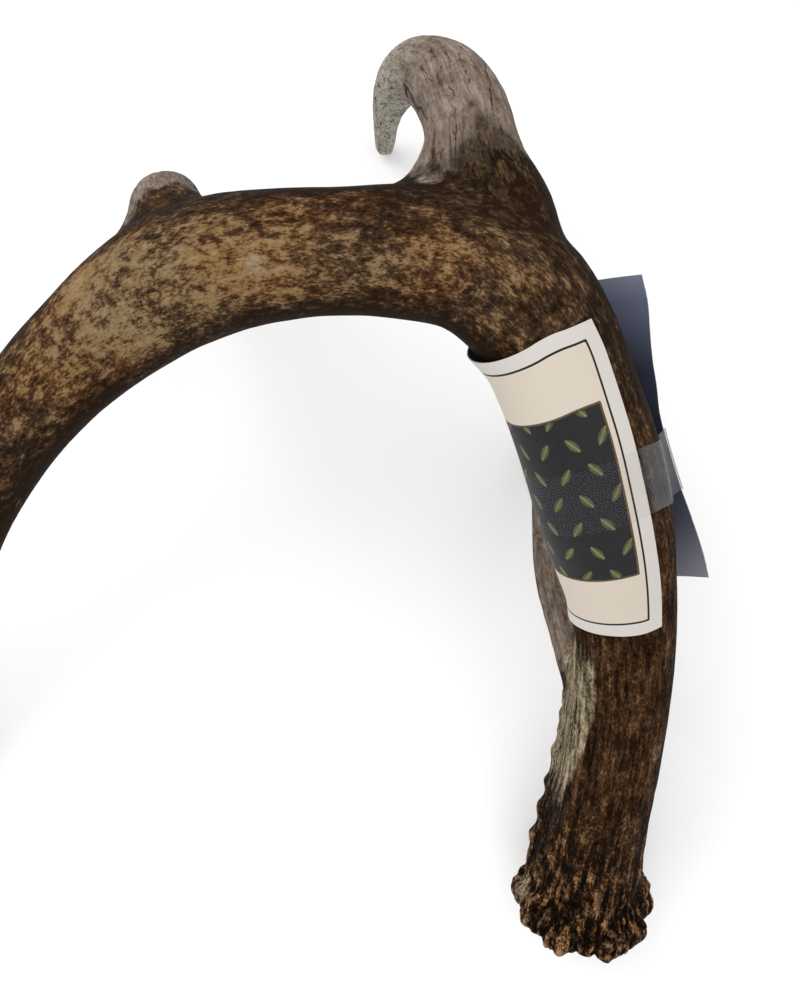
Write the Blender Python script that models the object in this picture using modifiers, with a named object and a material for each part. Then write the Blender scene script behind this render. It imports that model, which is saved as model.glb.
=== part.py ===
"""Shed deer antler resting on its tines, with a taped paper label round the beam.

The antler is grown from spines: a main beam, three tines, a ridge and a knobbly burr, merged
into one skin. The skin is sawn at its main forks, so that each stretch of beam and each tine
is a closed solid, and the whole is set down on the points that it stands on.
Run: blender --background --python part.py
"""

import math
import random

import bmesh
import bpy
import numpy as np
from mathutils import Matrix, Vector
from mathutils.bvhtree import BVHTree

MM = 0.001  # every size below is in millimetres

# Spines: stations are (x, y, z, radius), from the base of each branch to its tip ---------
BEAM = [
    (58.3, -133.9, 18.0, 15.6),
    (59.2, -122.4, 24.8, 16.6),
    (60.4, -108.8, 33.4, 16.1),
    (62.2, -90.2, 45.8, 15.2),
    (63.5, -72.7, 57.0, 14.8),
    (64.1, -56.7, 66.0, 14.7),
    (63.9, -41.4, 74.2, 14.8),
    (62.8, -28.0, 81.6, 15.1),
    (59.4, -13.8, 89.0, 16.8),
    (54.9, 0.0, 95.4, 18.2),
    (50.2, 14.6, 101.8, 18.2),
    (44.8, 29.0, 106.0, 17.7),
    (38.4, 43.6, 109.2, 18.0),
    (30.4, 53.5, 111.3, 18.9),
    (17.6, 61.2, 112.4, 17.9),
    (0.0, 64.0, 113.4, 17.3),
    (-15.5, 64.1, 113.4, 16.5),
    (-31.1, 63.6, 111.8, 17.1),
    (-47.1, 61.6, 108.1, 18.3),
    (-61.6, 57.1, 102.8, 18.4),
    (-72.5, 51.0, 98.6, 17.6),
    (-82.2, 44.2, 94.3, 16.6),
    (-96.0, 33.0, 88.0, 15.6),
    (-111.0, 18.0, 78.5, 14.5),
    (-124.0, 0.0, 66.5, 13.2),
    (-134.0, -20.0, 53.0, 11.6),
    (-141.0, -41.0, 39.0, 9.8),
    (-145.0, -61.0, 26.0, 7.8),
    (-147.0, -79.0, 14.0, 5.8),
    (-147.5, -93.0, 6.0, 4.3),
    (-147.5, -97.5, 3.9, 3.7),
]
BROW_TINE = [
    (62.3, -58.8, 61.5, 10.6),
    (58.2, -56.4, 57.2, 8.9),
    (54.8, -50.3, 54.1, 7.6),
    (51.9, -39.5, 47.7, 7.0),
    (49.4, -29.3, 40.3, 6.8),
    (48.0, -18.8, 32.9, 6.6),
    (47.5, -8.0, 25.4, 5.8),
    (47.4, 3.2, 17.0, 5.0),
    (47.5, 12.9, 9.8, 4.2),
    (47.6, 19.0, 5.1, 3.5),
]
BACK_TINE = [
    (30.0, 59.9, 107.1, 15.4),
    (25.0, 72.2, 107.1, 16.6),
    (21.2, 81.6, 106.0, 15.9),
    (19.6, 89.9, 102.3, 14.0),
    (19.2, 98.8, 95.4, 12.7),
    (17.2, 109.2, 85.9, 12.4),
    (12.9, 119.9, 72.1, 11.8),
    (6.8, 127.7, 57.2, 10.1),
    (0.9, 129.0, 43.5, 8.3),
    (-2.8, 126.1, 30.7, 6.2),
    (-4.5, 121.9, 18.0, 4.6),
    (-5.0, 117.8, 3.9, 3.7),
]
THIRD_TINE = [
    (-54.9, 62.5, 97.5, 15.1),
    (-61.4, 73.5, 90.1, 12.6),
    (-66.4, 82.2, 78.4, 10.4),
    (-66.8, 86.5, 66.0, 9.2),
    (-66.5, 88.5, 52.0, 7.8),
    (-65.8, 88.5, 38.0, 6.4),
    (-64.8, 87.0, 25.0, 5.0),
    (-64.0, 85.0, 15.0, 3.8),
    (-63.5, 84.0, 11.5, 3.2),
]
# The ridge runs down the underside of the beam from the brow tine to the burr.
RIDGE = [
    (53.2, -44.3, 59.4, 6.2),
    (55.3, -60.1, 51.7, 6.3),
    (53.6, -76.6, 42.6, 6.5),
    (51.4, -93.5, 34.4, 6.8),
    (48.8, -109.0, 27.8, 7.4),
    (47.0, -120.0, 23.6, 7.6),
]
# Webs fill the crotch of the back tine, its outer shoulder and the root of the third tine.
WEBS = [
    [(-6.0, 70.0, 110.0, 9.5), (7.0, 78.5, 106.5, 9.0), (14.5, 92.5, 98.5, 8.5)],
    [(44.0, 46.0, 108.5, 9.5), (34.5, 62.0, 107.5, 9.5), (27.5, 80.0, 104.5, 9.0)],
    [(-80.0, 53.0, 92.0, 10.0), (-73.0, 65.0, 86.0, 10.0), (-68.5, 77.0, 78.0, 8.5)],
]
PATH_STEPS = 8  # points of the smooth path for each station

# Burr: a flared collar, a rim of uneven pearls and some loose ones -----------------------
COLLARS = [(4.6, 18.6, 19.4, 7.0), (11.0, 18.8, 16.6, 9.0)]  # height, end radii, length
RIM_PEARLS = 21
RIM_ROWS = [(4.4, 19.6, 1.0), (10.2, 18.2, 0.66)]  # height, radius of the row, pearl scale
RIM_PEARL_RADIUS = (2.8, 4.1)
SEAL_HEIGHT = 1.2  # the seal is flat, this far up the spine from its first station
# Loose pearls are (beam station, degrees round from the top, radius, how proud it stands).
LOOSE_PEARLS = [
    (1.9, 62, 2.3, 0.9),
    (1.45, 86, 2.8, 1.3),
    (1.15, 78, 2.2, 0.9),
    (1.9, -80, 2.8, 1.1),
    (1.4, -98, 3.3, 0.9),
    (2.6, -112, 2.3, 1.0),
    (3.1, -118, 1.9, 0.8),
    (3.7, -116, 2.0, 0.9),
    (4.3, -117, 1.7, 0.8),
    (1.7, -35, 1.9, 0.3),
    (1.5, 25, 2.1, 0.3),
    (1.3, 150, 2.4, 0.8),
    (1.6, -160, 2.2, 0.8),
]

# Skin ----------------------------------------------------------------------------------
SKIN_VOXEL = 1.5
SKIN_TRIANGLES = 6600
# Forks are (middle, reach of the softening).
FORKS = [
    ((8.5, 81.5, 105.0), 17.0),
    ((33.0, 66.0, 108.0), 15.0),
    ((-70.0, 72.0, 86.0), 15.0),
    ((55.0, -48.0, 60.0), 11.0),
]
SAW_KERF = 0.32
# Saw cuts are name: (centre, direction of the blade's axle, blade radius).
SAWS = {
    "brow_tine": ((53.1, -44.2, 50.6), (-0.22, 0.86, -0.47), 10.8),
    "above_brow_tine": ((61.4, -21.2, 85.2), (-0.22, 0.86, 0.46), 21.0),
    "back_tine": ((19.3, 95.5, 98.4), (-0.1, 0.78, -0.62), 19.0),
    "past_back_tine": ((-8.0, 64.4, 113.5), (-1.0, 0.02, 0.0), 22.0),
    "third_tine": ((-66.7, 84.6, 72.5), (-0.03, 0.3, -0.95), 13.5),
    "past_third_tine": ((-85.0, 42.2, 93.1), (-0.76, -0.56, -0.33), 20.0),
}
# Each sawn piece is known by a point well inside it.
PIECES = {
    "lower_beam": (62.2, -90.2, 45.8),
    "brow_tine": (48.0, -18.8, 32.9),
    "middle_beam": (44.8, 29.0, 106.0),
    "back_tine": (12.9, 119.9, 72.1),
    "upper_beam": (-47.1, 61.8, 108.1),
    "third_tine": (-66.5, 88.5, 52.0),
    "beam_tip": (-124.0, 0.0, 66.5),
}

# Paper label and its strip of tape -------------------------------------------------------
LABEL_AXIS = Vector((0.262, -0.890, -0.373)).normalized()  # from its top to its foot
LABEL_HEIGHT = 89.0
LABEL_TOP = -74.6  # where its top edge lies along LABEL_AXIS
LABEL_THICKNESS = 0.32
LABEL_STANDOFF = 0.8
SKIN_SWELL = 7.0  # most that the skin may stand out past the beam's radius under the label
LABEL_START = (34.0, 25.0)  # its near edge at top and foot, in degrees from the beam's top
LABEL_SQUEEZE = (8.5, -2.5)  # how far its top and foot close up on the inside of the bend
LABEL_END = -156.0  # where it leaves the beam behind
LABEL_ROWS = 13
LABEL_COLUMNS = 30
# The free edge stands off behind the beam: (share of the height, out, up) from its middle.
FREE_EDGE = [
    (0.0, 31.0, -9.0),
    (0.22, 25.0, -9.0),
    (0.44, 21.6, -8.6),
    (0.7, 22.6, -7.0),
    (1.0, 26.0, -4.5),
]
TAPE_WIDTH = 18.5
TAPE_CENTRE = 0.50  # share of the label's height
TAPE_SLANT = 6.5  # how much lower it grips the free edge
TAPE_THICKNESS = 0.16
TAPE_GAP = 0.42
TAPE_LEAVES = 92.0  # degrees round where it leaves the beam for the free edge
TAPE_TAIL = 3  # columns of the card that it grips under the free edge
TAPE_OVERLAP = 14  # columns of the card that it covers on top
TAPE_ROWS = 6

STAINED = (0.165, 0.105, 0.058, 1.0)
BLEACHED = (0.33, 0.27, 0.22, 1.0)
PAPER = (0.70, 0.62, 0.52, 1.0)
FILM = (0.55, 0.57, 0.62, 1.0)


# Helpers ---------------------------------------------------------------------------------
def clear_scene():
    for old in list(bpy.data.objects):
        bpy.data.objects.remove(old, do_unlink=True)


def make_collection(name):
    collection = bpy.data.collections.new(name)
    bpy.context.scene.collection.children.link(collection)
    return collection


def principled(name, colour, roughness):
    material = bpy.data.materials.new(name)
    material.use_nodes = True
    shader = material.node_tree.nodes["Principled BSDF"]
    shader.inputs["Base Color"].default_value = colour
    shader.inputs["Roughness"].default_value = roughness
    shader.inputs["Metallic"].default_value = 0.0
    return material


def evaluated_mesh(obj, name):
    bpy.context.view_layer.update()
    graph = bpy.context.evaluated_depsgraph_get()
    mesh = bpy.data.meshes.new_from_object(obj.evaluated_get(graph))
    mesh.name = name
    return mesh


def apply_modifiers(obj):
    mesh = evaluated_mesh(obj, obj.name)
    obj.modifiers.clear()
    obj.data = mesh


def mesh_from(shape, name):
    """A mesh of the bmesh, which is freed."""
    mesh = bpy.data.meshes.new(name)
    shape.to_mesh(mesh)
    shape.free()
    return mesh


def placed(centre, direction):
    """The matrix that puts a shape's Z axis along the direction, at the centre in mm."""
    turn = Vector(direction).to_track_quat("Z", "Y").to_matrix().to_4x4()
    return Matrix.Translation(Vector(centre) * MM) @ turn


def add_disc(shape, matrix, radius, depth, other_radius=None):
    bmesh.ops.create_cone(
        shape,
        cap_ends=True,
        segments=32,
        radius1=radius * MM,
        radius2=(other_radius or radius) * MM,
        depth=depth * MM,
        matrix=matrix,
    )


# Spines ----------------------------------------------------------------------------------
def smooth_path(stations):
    """Catmull-Rom points in mm through the stations, with every value blended alike."""
    ends = np.array([stations[0], *stations, stations[-1]], float)
    path = []
    for i in range(1, len(ends) - 2):
        before, start, end, after = ends[i - 1 : i + 3]
        slope = end - before
        curve = 2 * before - 5 * start + 4 * end - after
        twist = 3 * start - before - 3 * end + after
        for t in np.arange(PATH_STEPS) / PATH_STEPS:
            path.append(0.5 * (2 * start + slope * t + curve * t**2 + twist * t**3))
    path.append(ends[-1])
    return np.array(path)


def beam_at(position):
    """(point, direction, radius) of the beam at a fractional station number."""
    path = smooth_path(BEAM)
    index = int(position * PATH_STEPS)
    direction = Vector(path[index + 1][:3] - path[index][:3]).normalized()
    return Vector(path[index][:3]), direction, float(path[index][3])


def branch_mesh(stations):
    """A closed tapering tube along the stations, with a ball on its tip."""
    path = smooth_path(stations)
    curve = bpy.data.curves.new("branch", "CURVE")
    curve.dimensions = "3D"
    curve.bevel_depth = 1.0
    curve.bevel_resolution = 8
    curve.use_fill_caps = True
    spline = curve.splines.new("POLY")
    spline.points.add(len(path) - 1)
    for point, (x, y, z, radius) in zip(spline.points, path):
        point.co = (x * MM, y * MM, z * MM, 1.0)
        point.radius = radius * MM
    guide = bpy.data.objects.new("branch", curve)
    bpy.context.scene.collection.objects.link(guide)
    mesh = evaluated_mesh(guide, "branch")
    bpy.data.objects.remove(guide)
    shape = bmesh.new()
    shape.from_mesh(mesh)
    bpy.data.meshes.remove(mesh)
    bmesh.ops.remove_doubles(shape, verts=shape.verts, dist=1e-6)
    x, y, z, radius = path[-1]
    tip = Matrix.Translation(Vector((x, y, z)) * MM)
    bmesh.ops.create_icosphere(shape, subdivisions=3, radius=radius * MM, matrix=tip)
    return mesh_from(shape, "branch")


# Burr ------------------------------------------------------------------------------------
def add_pearl(shape, centre, radius, along, stretch):
    """An egg-shaped pearl, stretched along the beam."""
    place = placed(centre, along) @ Matrix.Diagonal((1, 1, stretch, 1))
    bmesh.ops.create_icosphere(shape, subdivisions=2, radius=radius * MM, matrix=place)


def add_rim(shape, chance):
    base, along, _ = beam_at(0)
    right = along.cross(Vector((0, 0, 1))).normalized()
    up = right.cross(along)
    for row, (height, reach, scale) in enumerate(RIM_ROWS):
        for i in range(RIM_PEARLS):
            angle = math.tau * (i + 0.5 * row + chance.uniform(-0.25, 0.25)) / RIM_PEARLS
            radius = scale * chance.uniform(*RIM_PEARL_RADIUS)
            out = reach + chance.uniform(-0.5, 0.6)
            lift = height + chance.uniform(-1.2, 1.4)
            side = right * math.cos(angle) + up * math.sin(angle)
            add_pearl(shape, base + along * lift + side * out, radius, along, 1.25)


def add_loose_pearls(shape):
    for position, degrees, radius, proud in LOOSE_PEARLS:
        point, along, beam_radius = beam_at(position)
        right = along.cross(Vector((0, 0, 1))).normalized()
        up = right.cross(along)
        side = right * math.sin(math.radians(degrees)) + up * math.cos(math.radians(degrees))
        add_pearl(shape, point + side * (beam_radius - radius + 2 * proud), radius, along, 1.4)


def burr_mesh():
    shape = bmesh.new()
    base, along, _ = beam_at(0)
    for height, low, high, length in COLLARS:
        add_disc(shape, placed(base + along * height, along), low, length, high)
    add_rim(shape, random.Random(7))
    add_loose_pearls(shape)
    return mesh_from(shape, "burr")


# Skin ------------------------------------------------------------------------------------
def joined(meshes, name):
    shape = bmesh.new()
    for mesh in meshes:
        shape.from_mesh(mesh)
        bpy.data.meshes.remove(mesh)
    obj = bpy.data.objects.new(name, mesh_from(shape, name))
    bpy.context.scene.collection.objects.link(obj)
    return obj


def weight_forks(obj):
    """A vertex group that is full at the forks and fades away from them."""
    group = obj.vertex_groups.new(name="forks")
    for vertex in obj.data.vertices:
        away = [(vertex.co / MM - Vector(fork)).length / reach for fork, reach in FORKS]
        weight = 1.0 - min(away) ** 2
        if weight > 0:
            group.add([vertex.index], min(1.0, 1.6 * weight), "REPLACE")
    return group.name


def add_smooth(obj, name, iterations, group=""):
    smooth = obj.modifiers.new(name, "SMOOTH")
    smooth.factor = 0.5
    smooth.iterations = iterations
    smooth.vertex_group = group


def grow_antler():
    """All branches merged into one closed skin of about SKIN_TRIANGLES triangles."""
    spines = (BEAM, BROW_TINE, BACK_TINE, THIRD_TINE, RIDGE, *WEBS)
    antler = joined([*map(branch_mesh, spines), burr_mesh()], "antler")
    remesh = antler.modifiers.new("skin", "REMESH")
    remesh.mode = "VOXEL"
    remesh.voxel_size = SKIN_VOXEL * MM
    apply_modifiers(antler)
    add_smooth(antler, "soften_forks", 40, weight_forks(antler))
    add_smooth(antler, "even", 2)
    fewer = antler.modifiers.new("fewer", "DECIMATE")
    fewer.ratio = SKIN_TRIANGLES / (2 * len(antler.data.polygons))
    apply_modifiers(antler)
    return antler


def cut_disc(obj, name, cutters, matrix, radius, depth):
    """A Boolean cut by a disc-shaped tool kept in the cutters' collection."""
    shape = bmesh.new()
    add_disc(shape, matrix, radius, depth)
    tool = bpy.data.objects.new(name, mesh_from(shape, name))
    tool.hide_render = True
    tool.display_type = "WIRE"
    cutters.objects.link(tool)
    boolean = obj.modifiers.new(name, "BOOLEAN")
    boolean.operation = "DIFFERENCE"
    boolean.solver = "EXACT"
    boolean.object = tool


def saw_apart(antler, cutters):
    """The seal trimmed flat, and the antler sawn at its forks into named pieces."""
    base, along, _ = beam_at(0)
    block = 24.0
    middle = base + along * (SEAL_HEIGHT - block / 2)
    cut_disc(antler, "seal_cutter", cutters, placed(middle, along), 32.0, block)
    for name, (centre, direction, radius) in SAWS.items():
        cut_disc(antler, "saw_" + name, cutters, placed(centre, direction), radius, SAW_KERF)
    apply_modifiers(antler)
    bpy.context.view_layer.objects.active = antler
    antler.select_set(True)
    bpy.ops.mesh.separate(type="LOOSE")
    pieces = list(bpy.context.selected_objects)
    for piece in pieces:
        piece.name = next(name for name, point in PIECES.items() if holds(piece, point))
        piece.data.name = piece.name
        bpy.context.scene.collection.objects.unlink(piece)
    return pieces


def holds(piece, point):
    """Whether the point, in mm, is inside the closed piece."""
    point = Vector(point) * MM
    _, nearest, normal, _ = piece.closest_point_on_mesh(point)
    return (nearest - point).dot(normal) > 0


# Label and tape --------------------------------------------------------------------------
def label_section(share):
    """The beam where the label's row crosses it: (middle, right, up, radius)."""
    distance = LABEL_TOP + LABEL_HEIGHT * share
    path = smooth_path(BEAM)
    reach = path[:, :3] @ np.array(LABEL_AXIS)
    first = np.nonzero((reach[:-1] >= distance) & (reach[1:] < distance))[0][0]
    part = (reach[first] - distance) / (reach[first] - reach[first + 1])
    x, y, z, radius = path[first] * (1 - part) + path[first + 1] * part
    right = LABEL_AXIS.cross(Vector((0, 0, -1))).normalized()
    up = LABEL_AXIS.cross(right)
    return Vector((x, y, z)), right, up, float(radius)


def skin_reach(antler):
    """A function (share, degrees) of how far out the skin comes there, or just beside it."""
    tree = BVHTree.FromObject(antler, bpy.context.evaluated_depsgraph_get())

    def reach(share, degrees):
        middle, right, up, radius = label_section(share)
        furthest = radius
        for along in (-5.0, -2.5, 0.0, 2.5, 5.0):
            for swing in (-8, 0, 8):
                turned = math.radians(degrees + swing)
                heading = right * math.sin(turned) + up * math.cos(turned)
                start = (middle + LABEL_AXIS * along) * MM
                distance = tree.ray_cast(start, heading)[3]
                if distance is not None and distance / MM < radius + SKIN_SWELL:
                    furthest = max(furthest, distance / MM)
        return furthest

    return reach


def arc_point(reach, share, degrees, gap):
    """A point at an angle round the beam, gap mm clear of its skin."""
    middle, right, up, _ = label_section(share)
    turned = math.radians(degrees)
    out = reach(share, degrees) + gap
    return middle + (right * math.sin(turned) + up * math.cos(turned)) * out


def even_points(points, count):
    """count points evenly spaced along the smooth path through the points."""
    path = smooth_path(points)
    steps = np.linalg.norm(np.diff(path, axis=0), axis=1)
    along = np.concatenate([[0], np.cumsum(steps)])
    wanted = np.linspace(0, along[-1], count)
    return [Vector([np.interp(at, along, values) for values in path.T]) for at in wanted]


def near_edge(share):
    return np.interp(share, (0.0, 1.0), LABEL_START)


def card_row(reach, share):
    """The card's inner line at one height, from its near edge round to its free edge."""
    middle, right, up, radius = label_section(share)
    shares, outs, rises = zip(*FREE_EDGE)
    out = np.interp(share, shares, outs)
    rise = np.interp(share, shares, rises)
    leaving = [(0.30 * out, -radius - 0.9), (0.68 * out, 0.45 * rise - 0.62 * radius), (out, rise)]
    round_beam = []
    for degrees in np.linspace(near_edge(share), LABEL_END, 11):
        inside_bend = max(0.0, -math.sin(math.radians(degrees)))
        squeeze = np.interp(share, (0.0, 1.0), LABEL_SQUEEZE) * inside_bend / LABEL_HEIGHT
        round_beam.append(arc_point(reach, share + squeeze, degrees, LABEL_STANDOFF))
    behind = [middle + right * x + up * y for x, y in leaving]
    return even_points(round_beam + behind, LABEL_COLUMNS)


def card_at(card, share):
    """(point, outward) pairs of the card's inner line at any share of its height."""
    place = share * (LABEL_ROWS - 1)
    first = int(place)
    line = [a.lerp(b, place - first) for a, b in zip(card[first], card[first + 1])]
    ahead = line[1:] + [2 * line[-1] - line[-2]]
    return [(a, (b - a).cross(LABEL_AXIS).normalized()) for a, b in zip(line, ahead)]


def tape_row(card, reach, share):
    """The tape's inner line: under the free edge, round it, up the bare beam, over the card."""
    slant = TAPE_SLANT / LABEL_HEIGHT
    off_card = LABEL_THICKNESS + TAPE_GAP
    line = card_at(card, share + slant)
    under = [point + out * off_card for point, out in line[-1 - TAPE_TAIL : -1]]
    edge, outside = line[-1]
    inward = (line[-2][0] - edge).normalized()
    middle = edge + outside * LABEL_THICKNESS / 2
    radius = LABEL_THICKNESS / 2 + TAPE_GAP
    fold = [
        middle + (outside * math.sin(turn) - inward * math.cos(turn)) * radius
        for turn in map(math.radians, (90, 60, 30, 0, -35))
    ]
    degrees = np.linspace(TAPE_LEAVES, near_edge(share) + 14, 5)
    lower = slant * np.linspace(0.75, 0.15, 5)
    bare = [arc_point(reach, share + a, b, TAPE_GAP) for a, b in zip(lower, degrees)]
    over = [point + out * off_card for point, out in card_at(card, share)[:TAPE_OVERLAP]]
    return under + fold + bare + over


def sheet_object(name, grid, thickness):
    """A closed thin solid over rows of points in mm, thickened away from the beam."""
    shape = bmesh.new()
    rows = [[shape.verts.new(point * MM) for point in row] for row in grid]
    for near, far in zip(rows, rows[1:]):
        for a, b, c, d in zip(near, near[1:], far[1:], far):
            shape.faces.new((a, b, c, d))
    sheet = bpy.data.objects.new(name, mesh_from(shape, name))
    solid = sheet.modifiers.new("thickness", "SOLIDIFY")
    solid.thickness = thickness * MM
    solid.offset = 1.0
    return sheet


def make_label_and_tape(reach):
    card = [card_row(reach, share) for share in np.linspace(0.0, 1.0, LABEL_ROWS)]
    half = 0.5 * TAPE_WIDTH / LABEL_HEIGHT
    shares = np.linspace(TAPE_CENTRE - half, TAPE_CENTRE + half, TAPE_ROWS)
    tape = [tape_row(card, reach, share) for share in shares]
    return (
        sheet_object("paper_label", card, LABEL_THICKNESS),
        sheet_object("tape_strip", tape, TAPE_THICKNESS),
    )


# Resting pose ----------------------------------------------------------------------------
def triangle_corners(mesh):
    mesh.calc_loop_triangles()
    points = np.array([vertex.co for vertex in mesh.vertices])
    return points[[list(triangle.vertices) for triangle in mesh.loop_triangles]]


def mass_centre(meshes):
    """Centre of volume of closed meshes."""
    corners = np.concatenate([triangle_corners(mesh) for mesh in meshes])
    volumes = np.linalg.det(corners) / 6
    return Vector((corners.sum(axis=1) / 4 * volumes[:, None]).sum(axis=0) / volumes.sum())


def resting_turn(meshes):
    """The small turn that lays flat the hull face under the centre of mass."""
    hull = bmesh.new()
    for mesh in meshes:
        hull.from_mesh(mesh)
    found = bmesh.ops.convex_hull(hull, input=hull.verts)["geom"]
    centre = mass_centre(meshes)
    for face in (item for item in found if isinstance(item, bmesh.types.BMFace)):
        corners = [vertex.co for vertex in face.verts]
        ahead = corners[1:] + corners[:1]
        sides = [(b - a).cross(centre - a).dot(face.normal) for a, b in zip(corners, ahead)]
        if face.normal.z < -0.9 and (min(sides) >= 0 or max(sides) <= 0):
            normal = face.normal.copy()
    hull.free()
    return normal.rotation_difference(Vector((0, 0, -1))).to_matrix().to_4x4()


def corner_points(objects):
    """(lowest, highest) corner of the objects as they are built."""
    points = [vertex.co for obj in objects for vertex in evaluated_mesh(obj, "size").vertices]
    points = np.array(points)
    return Vector(points.min(axis=0)), Vector(points.max(axis=0))


def set_down(objects, antler, collection):
    """Turns all to rest, and puts the middle of their underside at the origin."""
    turn = resting_turn([piece.data for piece in antler])
    for obj in objects:
        obj.data.transform(turn)
        collection.objects.link(obj)
    low, high = corner_points(objects)
    shift = Vector((-(low.x + high.x) / 2, -(low.y + high.y) / 2, -low.z))
    rest = bpy.data.objects.new("antler_rest", None)
    collection.objects.link(rest)
    for obj in objects:
        middle = sum((vertex.co for vertex in obj.data.vertices), Vector()) / len(obj.data.vertices)
        obj.data.transform(Matrix.Translation(-middle))
        obj.location = middle + shift
        obj.parent = rest
    return shift


def finish(obj, material):
    obj.data.materials.append(material)
    obj.data.shade_smooth()


def main():
    clear_scene()
    parts = make_collection("deer_antler")
    cutters = make_collection("cutters")
    stained = principled("weathered_antler", STAINED, 0.62)
    bleached = principled("bleached_tine", BLEACHED, 0.58)

    antler = grow_antler()
    label, tape = make_label_and_tape(skin_reach(antler))
    pieces = saw_apart(antler, cutters)
    for piece in pieces:
        finish(piece, bleached if piece.name.endswith("tine") else stained)
    finish(label, principled("label_paper", PAPER, 0.7))
    finish(tape, principled("tape_film", FILM, 0.2))
    shift = set_down([*pieces, label, tape], pieces, parts)
    print("origin moved by", [round(value / MM, 3) for value in shift], "mm")


main()
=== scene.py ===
"""Deer antler with a paper card wrapped round its beam and held by clear tape.

The looks of the part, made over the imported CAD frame: the grown antler in one skin, the
printed card, the strip of tape, and a pale stage with a camera above it.
"""

import math

import bpy
import numpy as np
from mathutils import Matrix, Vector
from mathutils.bvhtree import BVHTree


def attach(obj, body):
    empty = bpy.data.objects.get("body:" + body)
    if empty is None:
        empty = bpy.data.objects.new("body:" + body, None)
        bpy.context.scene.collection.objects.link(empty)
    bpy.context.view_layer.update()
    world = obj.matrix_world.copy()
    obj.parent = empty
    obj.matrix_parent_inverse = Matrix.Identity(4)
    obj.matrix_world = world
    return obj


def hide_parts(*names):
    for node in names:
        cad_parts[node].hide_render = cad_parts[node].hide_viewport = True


bl_info = {
    "name": "Deer antler with a taped card",
    "version": (1, 0, 0),
    "blender": (4, 5, 0),
    "location": "View3D > Sidebar > Antler",
    "description": "Builds a shed deer antler, its wrapped card label and its tape",
    "category": "Object",
}

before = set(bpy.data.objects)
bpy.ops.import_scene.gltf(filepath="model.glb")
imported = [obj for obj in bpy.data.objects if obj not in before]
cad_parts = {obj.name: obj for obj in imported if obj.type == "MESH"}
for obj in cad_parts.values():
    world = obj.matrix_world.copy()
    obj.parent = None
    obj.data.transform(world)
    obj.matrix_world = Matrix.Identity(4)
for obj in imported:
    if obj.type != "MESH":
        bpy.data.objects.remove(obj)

MM = 0.001
CUT_SWELL = 0.35  # mm, more than the 0.32 mm saw cuts between the CAD pieces
SKIN_TRIM = -0.3  # mm, takes the swell off again
FINE_BELOW = 128  # mm from the burr within which the skin is refined
BONE_NODES = (
    "lower_beam",
    "brow_tine",
    "middle_beam",
    "back_tine",
    "upper_beam",
    "third_tine",
    "beam_tip",
)

# Centre lines of the antler in mm: (x, y, z, radius), with the origin under its middle.
BEAM = [
    (90.8, -130.9, 17.5, 15.6),
    (91.7, -119.4, 24.3, 16.6),
    (92.9, -105.8, 32.9, 16.1),
    (94.7, -87.2, 45.3, 15.2),
    (96.0, -69.7, 56.5, 14.8),
    (96.6, -53.7, 65.5, 14.7),
    (96.4, -38.4, 73.7, 14.8),
    (95.3, -25.0, 81.1, 15.1),
    (91.9, -10.8, 88.5, 16.8),
    (87.4, 3.0, 94.9, 18.2),
    (82.7, 17.6, 101.3, 18.2),
    (77.3, 32.0, 105.5, 17.7),
    (70.9, 46.6, 108.7, 18.0),
    (62.9, 56.5, 110.8, 18.9),
    (50.1, 64.2, 111.9, 17.9),
    (32.5, 67.0, 112.9, 17.3),
    (17.0, 67.1, 112.9, 16.5),
    (1.4, 66.6, 111.3, 17.1),
    (-14.6, 64.6, 107.6, 18.3),
    (-29.1, 60.1, 102.3, 18.4),
    (-40.0, 54.0, 98.1, 17.6),
    (-49.7, 47.2, 93.8, 16.6),
    (-63.5, 36.0, 87.5, 15.6),
    (-78.5, 21.0, 78.0, 14.5),
    (-91.5, 3.0, 66.0, 13.2),
    (-101.5, -17.0, 52.5, 11.6),
    (-108.5, -38.0, 38.5, 9.8),
    (-112.5, -58.0, 25.5, 7.8),
    (-114.5, -76.0, 13.5, 5.8),
    (-115.0, -90.0, 5.5, 4.3),
    (-115.0, -94.5, 3.4, 3.7),
]
TINES = {
    "brow": [
        (94.8, -55.8, 61.0, 10.6),
        (87.3, -47.3, 53.6, 7.6),
        (81.9, -26.3, 39.8, 6.8),
        (80.0, -5.0, 24.9, 5.8),
        (80.1, 22.0, 4.6, 3.5),
    ],
    "back": [
        (62.5, 62.9, 106.6, 15.4),
        (53.7, 84.6, 105.5, 15.9),
        (51.7, 101.8, 94.9, 12.7),
        (45.4, 122.9, 71.6, 11.8),
        (33.4, 132.0, 43.0, 8.3),
        (28.0, 124.9, 17.5, 4.6),
        (27.5, 120.8, 3.4, 3.7),
    ],
    "third": [
        (-22.4, 65.5, 97.0, 15.1),
        (-33.9, 85.2, 77.9, 10.4),
        (-34.0, 91.5, 51.5, 7.8),
        (-32.3, 90.0, 24.5, 5.0),
        (-31.0, 87.0, 11.0, 3.2),
    ],
}
# The pale ridge down the inner side of the lower beam, from the brow tine to the burr.
RIDGE = [
    (85.7, -41.3, 58.9, 6.2),
    (87.8, -57.1, 51.2, 6.3),
    (86.1, -73.6, 42.1, 6.5),
    (83.9, -90.5, 33.9, 6.8),
    (81.3, -106.0, 27.3, 7.4),
    (79.5, -117.0, 23.1, 7.6),
]

# How light the bark stain is along the beam: (mm from the burr, lightness).
STAIN = (
    (90, 140, 185, 215, 240, 270, 300, 325, 350, 400),
    (-0.2, -0.28, -0.26, -0.15, -0.07, -0.02, 0.08, 0.14, -0.06, -0.14),
)

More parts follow.
